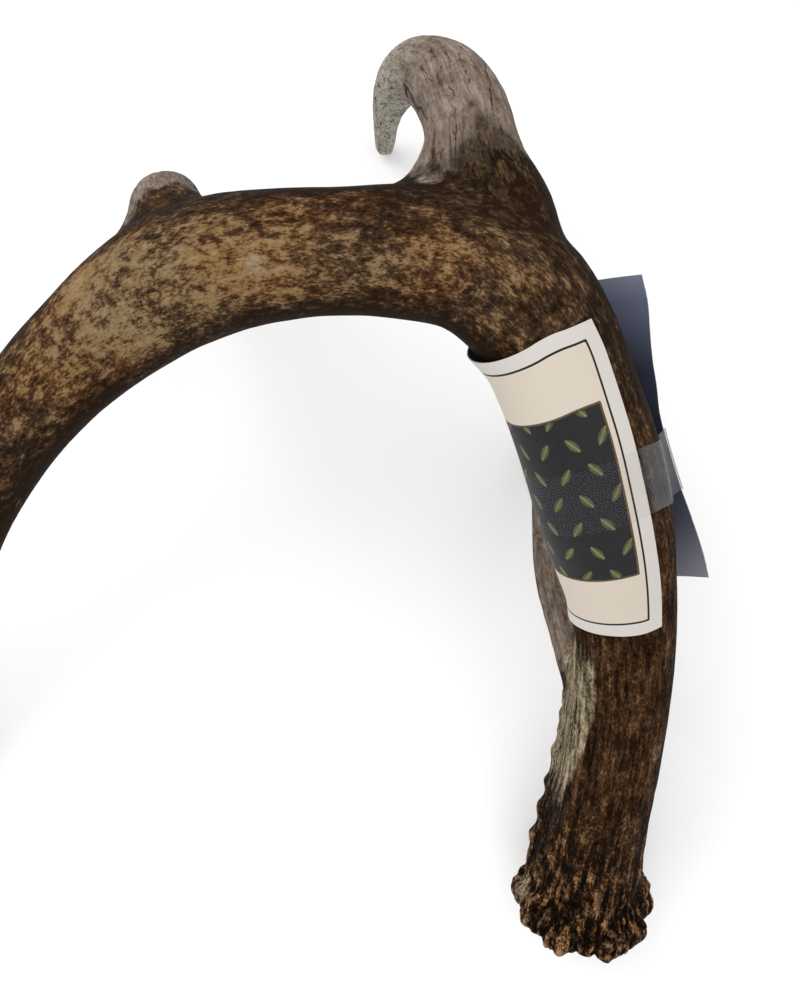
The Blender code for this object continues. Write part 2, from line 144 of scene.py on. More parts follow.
# Drying cracks seen from above, (x, y) in mm along each one.
CRACKS = (
    ((55.4, 129.1), (55.7, 119.8), (56.7, 114.6), (56.6, 109.6), (57.2, 101.2)),
    ((45.2, 127.4), (46.0, 119.8)),
    ((40.9, 131.2), (42.7, 123.6)),
    ((48.7, 125.9), (50.5, 116.3), (51.7, 113.0)),
    ((38.5, 123.7), (41.0, 116.7)),
    ((33.4, 122.1), (37.2, 112.4), (39.8, 105.6)),
    ((45.8, 113.7), (47.3, 110.0)),
    ((46.4, 107.9), (47.0, 103.5)),
    ((46.9, 100.1), (46.9, 93.3)),
    ((58.9, 100.0), (59.2, 95.7)),
    ((42.4, 118.6), (44.4, 112.1)),
    ((90.9, -62.5), (90.0, -72.1), (88.9, -83.8), (88.1, -92.5)),
)

# Smoky stains at the back tine's root: (x, y, radius) in mm.
SMOKE = (
    (53.8, 100.5, 4.0),
    (50.0, 90.5, 5.0),
    (58.5, 95.0, 4.0),
    (62.0, 90.0, 5.5),
    (55.5, 90.5, 6.0),
    (55.0, 85.0, 7.0),
)


# Round knobs on the burr and down the ridge: (x, y, z, radius, height) in mm.
KNOBS = (
    (112.5, -114.0, 22.0, 3.0, 2.6),
    (110.8, -120.5, 20.0, 2.3, 1.6),
    (109.5, -126.0, 18.0, 2.3, 1.5),
    (74.6, -114.0, 22.0, 2.6, 1.7),
    (73.0, -122.0, 20.0, 4.2, 2.2),
    (75.0, -103.0, 24.0, 2.6, 1.8),
    (77.0, -92.5, 30.0, 2.6, 1.4),
    (79.0, -84.5, 34.0, 2.2, 1.2),
    (81.5, -74.0, 38.0, 2.4, 1.4),
    (82.5, -62.5, 42.0, 2.2, 1.3),
)
KNOB_DEPTH = 7.0  # how far down from its middle a knob reaches
PALE_KNOB = (73.5, -121.5, 22.0, 6.0)  # (x, y, z, radius) of the patch worn pale


def linear(code):
    """A colour given as sRGB hex, such as "6E5A41", as linear RGBA."""
    parts = [int(code[i : i + 2], 16) / 255 for i in (0, 2, 4)]
    return (*[c / 12.92 if c <= 0.04045 else ((c + 0.055) / 1.055) ** 2.4 for c in parts], 1.0)


def add(tree, kind, settings=None, **links):
    """Adds a node, with its settings, and its inputs given as values or as sockets to link."""
    made = tree.nodes.new(kind)
    for name, value in (settings or {}).items():
        setattr(made, name, value)
    for name, value in links.items():
        key = int(name[1:]) if name[1:].isdigit() else name.replace("_", " ")
        if isinstance(value, bpy.types.NodeSocket):
            tree.links.new(value, made.inputs[key])
        else:
            made.inputs[key].default_value = value
    return made


# Measures on the antler's skin ---------------------------------------------------------------
def smooth_line(stations, steps=8):
    """Catmull-Rom points in mm through the stations, with the radius blended alike."""
    ends = np.array([stations[0], *stations, stations[-1]], float)
    line = []
    for before, start, end, after in zip(ends, ends[1:], ends[2:], ends[3:]):
        for t in np.arange(steps) / steps:
            curve = 2 * before - 5 * start + 4 * end - after
            twist = 3 * start - before - 3 * end + after
            line.append(0.5 * (2 * start + (end - before) * t + curve * t**2 + twist * t**3))
    line.append(ends[-1])
    return np.array(line)


def straightened(points, stations):
    """Each point as if the line were straight: (across, across, along) in mm, and how far
    out it lies as a share of the line's radius there."""
    line = smooth_line(stations)
    middles, radii = line[:, :3], line[:, 3]
    ahead = np.gradient(middles, axis=0)
    ahead /= np.linalg.norm(ahead, axis=1)[:, None]
    along = np.concatenate([[0], np.cumsum(np.linalg.norm(np.diff(middles, axis=0), axis=1))])
    side = np.cross(ahead[0], (0.0, 0.0, 1.0))
    sides = []
    for direction in ahead:
        side = side - direction * (side @ direction)
        side /= np.linalg.norm(side)
        sides.append(side)
    sides = np.array(sides)
    gaps = (points**2).sum(1)[:, None] - 2 * points @ middles.T + (middles**2).sum(1)
    near = gaps.argmin(1)
    off = points - middles[near]
    further = (off * ahead[near]).sum(1)
    across = (off * sides[near]).sum(1)
    upward = (off * np.cross(sides[near], ahead[near])).sum(1)
    out = np.linalg.norm(off, axis=1) / radii[near]
    return np.stack([across, upward, along[near] + further], 1), out


def noise(points, size, seed=0):
    """Smooth noise from -1 to 1 on points in mm, with features of about size mm."""
    cell = points / size
    low = np.floor(cell).astype(np.int64)
    part = cell - low
    part = part * part * (3 - 2 * part)
    total = 0
    for corner in np.ndindex(2, 2, 2):
        at = low + corner
        mixed = at[:, 0] * 73856093 ^ at[:, 1] * 19349663 ^ at[:, 2] * 83492791
        mixed ^= seed * 2654435761
        mixed = (mixed ^ (mixed >> 13)) * 1274126177
        value = ((mixed ^ (mixed >> 16)) & 0xFFFF) / 32767.5 - 1
        total = total + value * np.prod(np.where(corner, part, 1 - part), axis=1)
    return total


def ramp(values, low, high):
    """0 at low, 1 at high, and a smooth step between them."""
    share = np.clip((np.asarray(values, float) - low) / (high - low), 0, 1)
    return share * share * (3 - 2 * share)


def read(mesh, layer, item, width):
    """A mesh collection's values as a numpy array."""
    values = np.empty(len(layer) * width, np.float32 if item in ("co", "normal", "vector") else int)
    layer.foreach_get(item, values)
    return values.reshape(-1, width)


def store(mesh, name, values):
    """Keeps one number or vector at each point of a mesh for its material to read."""
    values = np.asarray(values, np.float32)
    vector = values.ndim == 2
    layer = mesh.attributes.new(name, "FLOAT_VECTOR" if vector else "FLOAT", "POINT")
    layer.data.foreach_set("vector" if vector else "value", values.ravel())


def spread(values, edges, times):
    """Averages a value over neighbouring points, as many times as asked."""
    count = np.bincount(edges.ravel(), minlength=len(values))
    for _ in range(times):
        total = np.bincount(edges[:, 0], values[edges[:, 1]], len(values))
        total += np.bincount(edges[:, 1], values[edges[:, 0]], len(values))
        values = (values + total / count) / 2
    return values


def apply_modifier(piece, kind, **settings):
    modifier = piece.modifiers.new(kind.lower(), kind)
    for name, value in settings.items():
        setattr(modifier, name, value)
    bpy.ops.object.modifier_apply(modifier=modifier.name)


def joined_copy(nodes, name):
    """The CAD nodes' meshes copied into one new piece, with their loose triangles merged."""
    bpy.ops.object.select_all(action="DESELECT")
    for node in nodes:
        copy = bpy.data.objects.new(name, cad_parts[node].data.copy())
        bpy.context.scene.collection.objects.link(copy)
        copy.select_set(True)
        bpy.context.view_layer.objects.active = copy
    bpy.ops.object.join()
    piece = bpy.context.active_object
    piece.name = name
    piece.data.materials.clear()
    bpy.ops.object.mode_set(mode="EDIT")
    bpy.ops.mesh.select_all(action="SELECT")
    bpy.ops.mesh.remove_doubles(threshold=0.001 * MM)
    bpy.ops.object.mode_set(mode="OBJECT")
    return piece


def swell(piece, distance):
    """Moves the whole skin outwards by distance mm, or inwards below 0."""
    bpy.ops.object.mode_set(mode="EDIT")
    bpy.ops.mesh.select_all(action="SELECT")
    bpy.ops.transform.shrink_fatten(value=distance * MM)
    bpy.ops.object.mode_set(mode="OBJECT")


def measure_skin(mesh):
    """What the relief and the colours go by, at each point of the skin."""
    points = read(mesh, mesh.vertices, "co", 3) / MM
    beam, beam_out = straightened(points, BEAM)
    found = {"points": points, "beam": beam, "along": beam[:, 2]}
    tines = {name: straightened(points, line) for name, line in TINES.items()}
    for name, (way, out) in tines.items():
        found[name], found[name + "_out"] = way, out
    outs = np.stack([out for _, out in tines.values()])
    ways = np.stack([way for way, _ in tines.values()])
    nearest = outs.argmin(0)
    found["tine_way"] = ways[nearest, np.arange(len(points))] + nearest[:, None] * 40.0
    found["tine"] = ramp(beam_out - outs.min(0), -0.1, 0.45)
    _, found["ridge_out"] = straightened(points, RIDGE)
    return found


def raise_relief(piece):
    """Grooves, swells and burr knobs pushed in and out of the skin along its normals.

    No operator gives grooves that follow a bent and branching beam, so they are worked out
    at each point from the straightened lines.
    """
    mesh = piece.data
    skin = measure_skin(mesh)
    beam, along = skin["beam"], skin["along"]
    on_beam = 1 - skin["tine"]
    low = 1 - ramp(along, 95, 185)
    burr = 1 - ramp(along, 14, 52)
    crown = 1 - ramp(along, 6, 30)
    lengthwise = beam * (1, 1, 1 / 7)
    lines = noise(lengthwise, 3.4, 1) + 0.35 * noise(lengthwise, 1.8, 2)
    groove = np.exp(-((lines / 0.16) ** 2))
    wide = noise(beam * (1, 1, 1 / 5), 6.5, 3)
    deep = np.exp(-((wide / 0.22) ** 2))
    lift = -groove * on_beam * (0.05 + 0.22 * low + 0.3 * burr)
    lift -= deep * on_beam * (0.05 + 0.15 * low + 0.75 * burr)
    lift += 0.4 * noise(beam * (1, 1, 0.4), 13.0, 4) * on_beam
    lumps = noise(beam * (1, 1, 0.6), 4.2, 5)
    lift += np.maximum(lumps, -0.25) * (0.3 * burr + 1.5 * crown) * on_beam
    lift += noise(beam, 2.1, 6) * 0.4 * crown
    turned = np.degrees(np.arctan2(beam[:, 0], beam[:, 1]))
    wander = 5.0 * noise(beam * (0, 0, 1), 16.0, 10)
    valley = np.exp(-(((turned + 38 + wander) / 5.5) ** 2)) * ramp(along, 20, 55)
    lift -= 1.1 * valley * (1 - ramp(along, 92, 112)) * on_beam
    ribs = noise(beam * (1, 1, 1 / 9), 5.5, 11)
    lift += np.where(ribs > 0, ribs**0.7, ribs * 1.5) * 1.15 * burr * on_beam * ramp(along, -5, 8)
    beads = np.clip(noise(beam * (1, 1, 0.8), 5.0, 7) - 0.35, 0, 1)
    ridge = 1 - ramp(skin["ridge_out"], 1.0, 1.5)
    lift += beads * ridge * 1.6
    for *centre, radius, height in KNOBS:
        lift += height * np.exp(-(((skin["points"] - centre) / (radius, radius,
                                                                KNOB_DEPTH)) ** 2).sum(1))
    tine_lines = noise(skin["tine_way"] * (1, 1, 1 / 8), 3.0, 8)
    lift -= np.exp(-((tine_lines / 0.12) ** 2)) * skin["tine"] * 0.14
    lift += 0.25 * noise(skin["tine_way"] * (1, 1, 0.4), 9.0, 9) * skin["tine"]
    normals = read(mesh, mesh.vertices, "normal", 3)
    moved = skin["points"] + normals * lift[:, None]
    moved[:, 2] = np.maximum(moved[:, 2], 0.0)
    mesh.vertices.foreach_set("co", (moved * MM).astype(np.float32).ravel())
    mesh.update()


def colour_guides(piece):
    """Stores on the skin what the antler's material reads: ways, zones, cracks, and the curvature
    that paints shade into hollows and highlights onto crests.
    """
    mesh = piece.data
    skin = measure_skin(mesh)
    along, points = skin["along"], skin["points"]
    edges = read(mesh, mesh.edges, "vertices", 2)
    normals = read(mesh, mesh.vertices, "normal", 3)
    near = np.zeros_like(points)
    count = np.bincount(edges.ravel(), minlength=len(points))
    for axis in range(3):
        ends = points[:, axis]
        total = np.bincount(edges[:, 0], ends[edges[:, 1]], len(points))
        total += np.bincount(edges[:, 1], ends[edges[:, 0]], len(points))
        near[:, axis] = total / count
    # Curvature: the material paints shade into hollows and highlights onto crests from it.
    curvature_highlight_and_shade = ((points - near) * normals).sum(1) / skin_spacing(points, edges, count)
    curvature_highlight_and_shade = spread(curvature_highlight_and_shade, edges, 2)
    back = ramp(skin["back"][:, 2], 18, 34) * ramp(1.35 - skin["back_out"], 0, 0.2)
    third = ramp(skin["third"][:, 2], 15, 26) * ramp(1.35 - skin["third_out"], 0, 0.2)
    brow = ramp(skin["brow"][:, 2], 8, 20) * ramp(1.35 - skin["brow_out"], 0, 0.2)
    turned = -np.degrees(np.arctan2(skin["beam"][:, 0], skin["beam"][:, 1]))
    narrow = 26 * (1 - ramp(along, 48, 92))
    ridge = ramp(turned - narrow, 34, 46) * (1 - ramp(turned, 120, 150)) * (1 - skin["tine"])
    ridge *= ramp(along, 34, 70) * (1 - ramp(along, 100, 122))
    tip = ramp(along, 395, 470)
    store(mesh, "beam_way", skin["beam"] * MM)
    store(mesh, "tine_way", skin["tine_way"] * MM)
    store(mesh, "tine", skin["tine"])
    store(mesh, "bleach", np.clip(np.maximum.reduce([back, third, brow, tip * 0.8]), 0, 1))
    knob = np.exp(-(((points - PALE_KNOB[:3]) / PALE_KNOB[3]) ** 2).sum(1))
    store(mesh, "ridge", np.maximum(ridge, knob))
    # The stain's lightness along the beam, darker towards +y over the upper beam's far edge: partly
    # stain, partly painted shade.
    store(mesh, "tan", np.interp(along, *STAIN) - 0.26 * ramp(points[:, 1], 64, 84))
    above = points[:, :2] + 0.5 * np.stack([noise(points, 2.9, 31), noise(points, 2.9, 32)], 1)
    lines = [bar(above, a, b, 0.13, 0.05) for line in CRACKS for a, b in zip(line, line[1:])]
    store(mesh, "crack", np.minimum.reduce(lines) + 3 * (normals[:, 2] < 0))
    smoke = [np.exp(-(((points[:, :2] - (x, y)) / size) ** 2).sum(1)) for x, y, size in SMOKE]
    store(mesh, "smoke", np.clip(np.sum(smoke, axis=0), 0, 1) * ramp(normals[:, 2], 0.0, 0.5))
    store(mesh, "upper", ramp(along, 135, 205))
    store(mesh, "burr", 1 - ramp(along, 18, 75))
    store(mesh, "curvature_highlight_and_shade", curvature_highlight_and_shade)
    # Sides turned away from above are darker: partly stain, partly painted shade.
    store(mesh, "side_stain_and_shade", ramp(0.8 - normals[:, 2], 0, 0.65) * (1 - skin["tine"]))
    store(mesh, "hook", ramp(skin["back"][:, 2], 75, 110) * ramp(1.35 - skin["back_out"], 0, 0.2))


def skin_spacing(points, edges, count):
    """How far each point is from its neighbours, in mm."""
    lengths = np.linalg.norm(points[edges[:, 0]] - points[edges[:, 1]], axis=1)
    total = np.bincount(edges[:, 0], lengths, len(points))
    total += np.bincount(edges[:, 1], lengths, len(points))
    return total / count


# Card and tape -------------------------------------------------------------------------------
CARD_AXIS = np.array((0.26202, -0.89006, -0.37302))  # from the card's top to its foot
CARD_TOP = -68.54  # where its top edge lies along that axis, in mm
CARD_HEIGHT = 89.0
CARD_THICKNESS = 0.32
CARD_STANDOFF = 0.5
CARD_START = (34.0, 25.0)  # its near edge at top and foot, in degrees from the beam's top
CARD_SQUEEZE = (6.0, -2.5)  # how far its top and foot close up on the inside of the bend
CARD_END = -156.0  # where it leaves the beam behind
# The free edge stands off behind the beam: share of the height, out and up in mm.
FREE_EDGE = np.array(
    [
        (0.0, 31.0, -9.0),
        (0.22, 25.0, -9.0),
        (0.44, 21.6, -8.6),
        (0.7, 22.6, -7.0),
        (1.0, 26.0, -4.5),
    ]
)
CARD_ROWS, CARD_COLUMNS = 13, 30
TAPE_SLANT = 6.5  # how much lower it grips the card's free edge
TAPE_GAP = 0.42
TAPE_LEAVES = 92.0  # degrees round where it leaves the beam for the free edge
TAPE_THICKNESS = 0.16


class CardLines:
    """The card's and the tape's lines round the beam, laid as in the CAD but on the fine skin."""

    def __init__(self, antler):
        self.path = smooth_line(BEAM)
        self.right = np.cross(CARD_AXIS, (0, 0, -1.0))
        self.right /= np.linalg.norm(self.right)
        self.up = np.cross(CARD_AXIS, self.right)
        self.skin = BVHTree.FromObject(antler, bpy.context.evaluated_depsgraph_get())
        self.card = [self.card_row(share) for share in np.linspace(0, 1, CARD_ROWS)]

    def section(self, share):
        """The beam where a row of the card crosses it: its middle and radius."""
        wanted = CARD_TOP + CARD_HEIGHT * share
        reach = self.path[:, :3] @ CARD_AXIS
        first = np.nonzero((reach[:-1] >= wanted) & (reach[1:] < wanted))[0][0]
        part = (reach[first] - wanted) / (reach[first] - reach[first + 1])
        found = self.path[first] * (1 - part) + self.path[first + 1] * part
        return found[:3], found[3]

    def around(self, degrees):
        turned = math.radians(degrees)
        return self.right * math.sin(turned) + self.up * math.cos(turned)

    def arc_point(self, share, degrees, gap):
        """A point at an angle round the beam, gap mm clear of the skin there and beside it."""
        middle, radius = self.section(share)
        furthest = 0.0
        for along in (-2.5, 0.0, 2.5):
            for swing in (-5, 0, 5):
                start = Vector((middle + CARD_AXIS * along) * MM)
                hit = self.skin.ray_cast(start, Vector(self.around(degrees + swing)))[3]
                if hit is not None and hit / MM < radius + 7.0:
                    furthest = max(furthest, hit / MM)
        return middle + self.around(degrees) * ((furthest or radius) + gap)

    def card_row(self, share):
        """The card's inner line at one height, from its near edge to its free edge."""
        middle, radius = self.section(share)
        _, out, rise = (np.interp(share, FREE_EDGE[:, 0], column) for column in FREE_EDGE.T)
        leaving = [
            (0.30 * out, -radius - 0.9),
            (0.68 * out, 0.45 * rise - 0.62 * radius),
            (out, rise),
        ]
        points = []
        for degrees in np.linspace(np.interp(share, (0, 1), CARD_START), CARD_END, 11):
            inside_bend = max(0.0, -math.sin(math.radians(degrees)))
            squeeze = np.interp(share, (0, 1), CARD_SQUEEZE) * inside_bend / CARD_HEIGHT
            points.append(self.arc_point(share + squeeze, degrees, CARD_STANDOFF))
        points += [middle + self.right * x + self.up * y for x, y in leaving]
        line = smooth_line(points)
        steps = np.linalg.norm(np.diff(line, axis=0), axis=1)
        along = np.concatenate([[0], np.cumsum(steps)])
        wanted = np.linspace(0, along[-1], CARD_COLUMNS)
        return np.stack([np.interp(wanted, along, values) for values in line.T], 1)

    def card_at(self, share):
        """The card's inner line at any height, and which way is outward at each point."""
        place = share * (CARD_ROWS - 1)
        first = int(place)
        part = place - first
        line = self.card[first] * (1 - part) + self.card[first + 1] * part
        outward = np.cross(np.diff(line, axis=0, append=[2 * line[-1] - line[-2]]), CARD_AXIS)
        return line, outward / np.linalg.norm(outward, axis=1)[:, None]

    def tape_row(self, share):
        """The tape's inner line: under the free edge, round it, up the beam, over the card."""
        slant = TAPE_SLANT / CARD_HEIGHT
        off_card = CARD_THICKNESS + TAPE_GAP
        line, outward = self.card_at(share + slant)
        under = line[-4:-1] + outward[-4:-1] * off_card
        inward = (line[-2] - line[-1]) / np.linalg.norm(line[-2] - line[-1])
        middle = line[-1] + outward[-1] * CARD_THICKNESS / 2
        radius = CARD_THICKNESS / 2 + TAPE_GAP
        fold = [
            middle + (outward[-1] * math.sin(turn) - inward * math.cos(turn)) * radius
            for turn in map(math.radians, (90, 60, 30, 0, -35))
        ]
        start = np.interp(share, (0, 1), CARD_START)
        bare = [
            self.arc_point(share + slant * lower, degrees, TAPE_GAP)
            for lower, degrees in zip(
                np.linspace(0.75, 0.15, 5), np.linspace(TAPE_LEAVES, start + 14, 5)
            )
        ]
        line, outward = self.card_at(share)
        return np.array([*under, *fold, *bare, *(line[:14] + outward[:14] * off_card)])


def finer(grid, *places):
    """A grid of points blended smoothly and read at places along its rows and columns."""
    for axis, place in enumerate(places):
        grid = np.moveaxis(grid, axis, 0)
        ends = np.concatenate([2 * grid[:1] - grid[1:2], grid, 2 * grid[-1:] - grid[-2:-1]])
        first = np.minimum(place.astype(int), len(grid) - 2)
        t = (place - first).reshape(-1, *[1] * (grid.ndim - 1))
        before, start, end, after = (ends[first + k] for k in range(4))
        curve = 2 * before - 5 * start + 4 * end - after
        twist = 3 * start - before - 3 * end + after
        grid = 0.5 * (2 * start + (end - before) * t + curve * t**2 + twist * t**3)
        grid = np.moveaxis(grid, 0, axis)
    return grid


def laid_sheet(name, grid):
    """A fine sheet whose points lie on a grid in mm, and each point's row and column."""
    rows, columns = grid.shape[:2]
    bpy.ops.object.select_all(action="DESELECT")
    bpy.ops.mesh.primitive_grid_add(x_subdivisions=columns - 1, y_subdivisions=rows - 1, size=2)
    sheet = bpy.context.active_object
    sheet.name = name
    flat = read(sheet.data, sheet.data.vertices, "co", 3)
    column = np.rint((flat[:, 0] + 1) / 2 * (columns - 1)).astype(int)
    row = np.rint((1 - flat[:, 1]) / 2 * (rows - 1)).astype(int)
    sheet.data.vertices.foreach_set("co", (grid[row, column] * MM).astype(np.float32).ravel())
    sheet.data.update()
    near_edge = read(sheet.data, sheet.data.vertices, "normal", 3)[column == 0]
    if near_edge[:, 2].mean() < 0:
        bpy.ops.object.mode_set(mode="EDIT")
        bpy.ops.mesh.select_all(action="SELECT")
        bpy.ops.mesh.flip_normals()
        bpy.ops.object.mode_set(mode="OBJECT")
    return sheet, row, column


# The card's print, in mm from its near edge (across) and its top (down) ------------------------
CARD_BORDER = 4.0  # white margin, in mm
CARD_BARE = 0.22  # share of the card's height left bare at its top and at its foot
LEAF_PITCH = 8.0  # spacing of the field's plain leaves
LEAF_HALF_LENGTH, LEAF_HALF_WIDTH, LEAF_TURN = 3.1, 1.25, 35.0


def bar(at, start, end, wide=0.0, narrow=None):
    """Distance to a bar between two points, from half width wide to half width narrow."""
    start, end = np.array(start, float), np.array(end, float)
    run = end - start
    t = np.clip(((at - start) @ run) / (run @ run), 0, 1)
    gap = np.hypot(*(at - start - t[:, None] * run).T)
    return gap - wide - ((wide if narrow is None else narrow) - wide) * t


def card_print(across, down, height):
    """Signed distances in mm, below 0 inside, to each ink of a generic leaf-sprinkled card.

    A thin frame line, a bare band at the top and foot, and between them a dark field with
    the same plain pointed leaf repeated in staggered rows.
    """
    inset = np.minimum.reduce([across, down, height - down])
    bare = CARD_BARE * height
    field = np.maximum.reduce([bare - down, down - (height - bare), CARD_BORDER + 2.0 - inset])
    row = np.floor(down / LEAF_PITCH)
    shifted = across + LEAF_PITCH / 2 * (row % 2)
    column = np.floor(shifted / LEAF_PITCH)
    x = shifted - (column + 0.5) * LEAF_PITCH
    y = down - (row + 0.5) * LEAF_PITCH
    turn = np.radians(LEAF_TURN) * np.where((row + column) % 2, 1, -1)
    x, y = x * np.cos(turn) + y * np.sin(turn), y * np.cos(turn) - x * np.sin(turn)
    # A pointed oval is what two overlapping discs share.
    bend = (LEAF_HALF_LENGTH**2 + LEAF_HALF_WIDTH**2) / (2 * LEAF_HALF_WIDTH)
    leaf = np.hypot(np.abs(x) + bend - LEAF_HALF_WIDTH, y) - bend
    vein = np.maximum(np.abs(x) - 0.15, np.abs(y) - 0.8 * LEAF_HALF_LENGTH)
    return {
        "print_inset": inset,
        "print_field": field,
        "print_leaf": np.maximum(leaf, field + 0.5),
        "print_vein": np.maximum(vein, field + 0.5),
    }


# Materials -----------------------------------------------------------------------------------
def new_material(name):
    """An empty node material with its output, as (material, tree, output)."""
    material = bpy.data.materials.new(name)
    material.use_nodes = True
    tree = material.node_tree
    tree.nodes.clear()
    return material, tree, tree.nodes.new("ShaderNodeOutputMaterial")


def colour_ramp(node, stops):
    """Sets a Color Ramp's stops from (place, sRGB hex)."""
    points = node.color_ramp.elements
    while len(points) < len(stops):
        points.new(0.5)
    for point, (place, code) in zip(points, stops):
        point.position = place
        point.color = linear(code)


def grown_antler():
    """Antler bone, grown and weathered, rubbed dark with bark stain.

    Gives the eye a satin brown skin mottled in tan and streaked along the beam, darker on its
    sides from stain and painted shade, nearly black with painted shade in the burr's hollows,
    with painted highlights on its crests, and chalky pinkish grey where the stain is worn off the
    tines.
    """
    material, tree, output = new_material("grown_antler_bone_bark_stained")
    ways = {n: add(tree, "ShaderNodeAttribute", {"attribute_name": n}) for n in (
        "beam_way", "tine_way", "tine", "bleach", "ridge", "upper", "burr", "curvature_highlight_and_shade", "side_stain_and_shade",
        "hook", "tan", "crack", "smoke")}
    value = {n: made.outputs["Fac"] for n, made in ways.items()}

    def maths(operation, a, b=0.0, clamp=False):
        made = add(tree, "ShaderNodeMath", {"operation": operation, "use_clamp": clamp}, _0=a, _1=b)
        return made.outputs[0]

    def mixed(factor, a, b, blend="MIX"):
        made = add(tree, "ShaderNodeMix", {"data_type": "RGBA", "blend_type": blend}, _0=factor,
                   _6=a, _7=b)
        return made.outputs[2]

    # Features in mm and how far they stretch along the beam.
    patterns = {}
    for name, size, stretch, detail, rough in (
        ("cloud", 22.0, 1.4, 2.0, 0.5),
        ("patch", 7.0, 1.6, 3.0, 0.6),
        ("mottle", 2.3, 1.5, 4.0, 0.72),
        ("streak", 1.3, 10.0, 3.0, 0.6),
        ("grain", 0.55, 2.2, 2.0, 0.6),
        ("check", 3.2, 11.0, 1.0, 0.5),
    ):
        read_two = []
        for way in ("beam_way", "tine_way"):
            scaled = add(tree, "ShaderNodeVectorMath", {"operation": "MULTIPLY"},
                         _0=ways[way].outputs["Vector"], _1=(1, 1, 1 / stretch))
            made = add(tree, "ShaderNodeTexNoise", {}, Vector=scaled.outputs[0],
                       Scale=1 / (size * MM), Detail=detail, Roughness=rough)
            read_two.append(made.outputs["Fac"])
        both = add(tree, "ShaderNodeMix", {"data_type": "FLOAT"}, _0=value["tine"],
                   _2=read_two[0], _3=read_two[1])
        patterns[name] = both.outputs[0]

    def blended(**shares):
        """Patterns centred on 0 and added up by their shares, centred on 0.5 again."""
        total = None
        for name, share in shares.items():
            centred = maths("SUBTRACT", patterns[name], 0.5)
            part = maths("MULTIPLY", centred, share)
            total = part if total is None else maths("ADD", total, part)
        return maths("ADD", total, 0.5)

    def ramped(factor, stops):
        made = add(tree, "ShaderNodeValToRGB", {}, Fac=factor)
        colour_ramp(made, stops)
        return made.outputs["Color"]

    # Darker on the sides, partly stain and partly painted shade.
    upper = maths("SUBTRACT", blended(cloud=0.35, patch=0.75, mottle=1.6, grain=0.8),
                  maths("MULTIPLY", value["side_stain_and_shade"], 0.5))
    upper = maths("ADD", upper, value["tan"])
    greyish = ramped(upper, [(0.12, "20160E"), (0.32, "35271B"), (0.45, "4A3726"),
                             (0.54, "624C34"), (0.63, "746044"), (0.9, "857256")])
    golden = ramped(upper, [(0.12, "1F130A"), (0.32, "382415"), (0.45, "4C3420"),
                            (0.54, "64482C"), (0.63, "765B3B"), (0.9, "89704D")])
    upper = mixed(maths("MULTIPLY", maths("SUBTRACT", patterns["cloud"], 0.42), 5.0, clamp=True),
                  greyish, golden)
    # Darker on the sides, partly stain and partly painted shade.
    lower = maths("SUBTRACT", blended(patch=0.8, streak=1.1, mottle=0.8, grain=1.0),
                  maths("MULTIPLY", value["side_stain_and_shade"], 0.15))
    # Painted shade in hollows and painted highlights on crests, from the skin's curvature.
    lower = maths("ADD", lower, maths("MULTIPLY", value["curvature_highlight_and_shade"], 1.2))
    lower = ramped(lower, [(0.12, "0C0703"), (0.34, "1E1208"), (0.5, "2E1E10"),
                           (0.66, "432E1B"), (0.82, "5A422C"), (1.0, "785A3C")])
    stained = mixed(value["upper"], lower, upper)
    # The burr gets painted shade in its hollows and painted highlights on its crests from the
    # curvature.
    burr = maths("ADD", blended(streak=1.2, mottle=1.2, grain=1.2, patch=1.0),
                 maths("MULTIPLY", value["curvature_highlight_and_shade"], 2.2))
    burr = ramped(maths("SUBTRACT", burr, 0.04),
                  [(0.2, "050302"), (0.42, "120A05"), (0.55, "2A1B0F"),
                         (0.68, "4E3520"), (0.82, "765839"), (1.0, "947556")])
    stained = mixed(maths("MULTIPLY", value["burr"], 0.85), stained, burr)

    pale = ramped(blended(cloud=0.5, patch=0.6, mottle=0.7, streak=0.9, grain=0.5),
                  [(0.2, "443930"), (0.4, "5F5248"), (0.55, "726459"), (0.75, "887B71"),
                   (0.95, "9C9188")])
    hook = ramped(blended(mottle=1.0, grain=1.6, streak=0.4),
                  [(0.25, "524D44"), (0.4, "857F73"), (0.55, "99958A"), (0.85, "A8A59A")])
    pale = mixed(value["hook"], pale, hook)
    line = maths("ABSOLUTE", maths("SUBTRACT", patterns["check"], 0.5))
    thin = maths("SUBTRACT", 1.0, maths("DIVIDE", line, 0.014), clamp=True)
    broken = maths("MULTIPLY", maths("SUBTRACT", patterns["patch"], 0.5), 9.0, clamp=True)
    thin = maths("MULTIPLY", maths("MULTIPLY", thin, broken), 0.8)
    pale = mixed(thin, pale, linear("1F1812"))
    edge = maths("ADD", maths("MULTIPLY", value["bleach"], 2.2),
                 maths("MULTIPLY",
                       maths("SUBTRACT", blended(patch=1.6, mottle=1.3, cloud=1.2), 0.5), 2.0))
    edge = maths("SUBTRACT", edge, 0.75, clamp=True)
    smoky = mixed(maths("MULTIPLY", value["bleach"], 1.0), stained, linear("281F17"))
    colour = mixed(edge, smoky, pale)
    haze = maths("SUBTRACT", maths("ADD", value["smoke"], blended(patch=1.2, mottle=1.2)), 0.75,
                 clamp=True)
    colour = mixed(haze, colour, ramped(blended(mottle=1.6, grain=0.8), [
        (0.3, "0F0A06"), (0.5, "261D14"), (0.64, "433422"), (0.85, "584631")]))
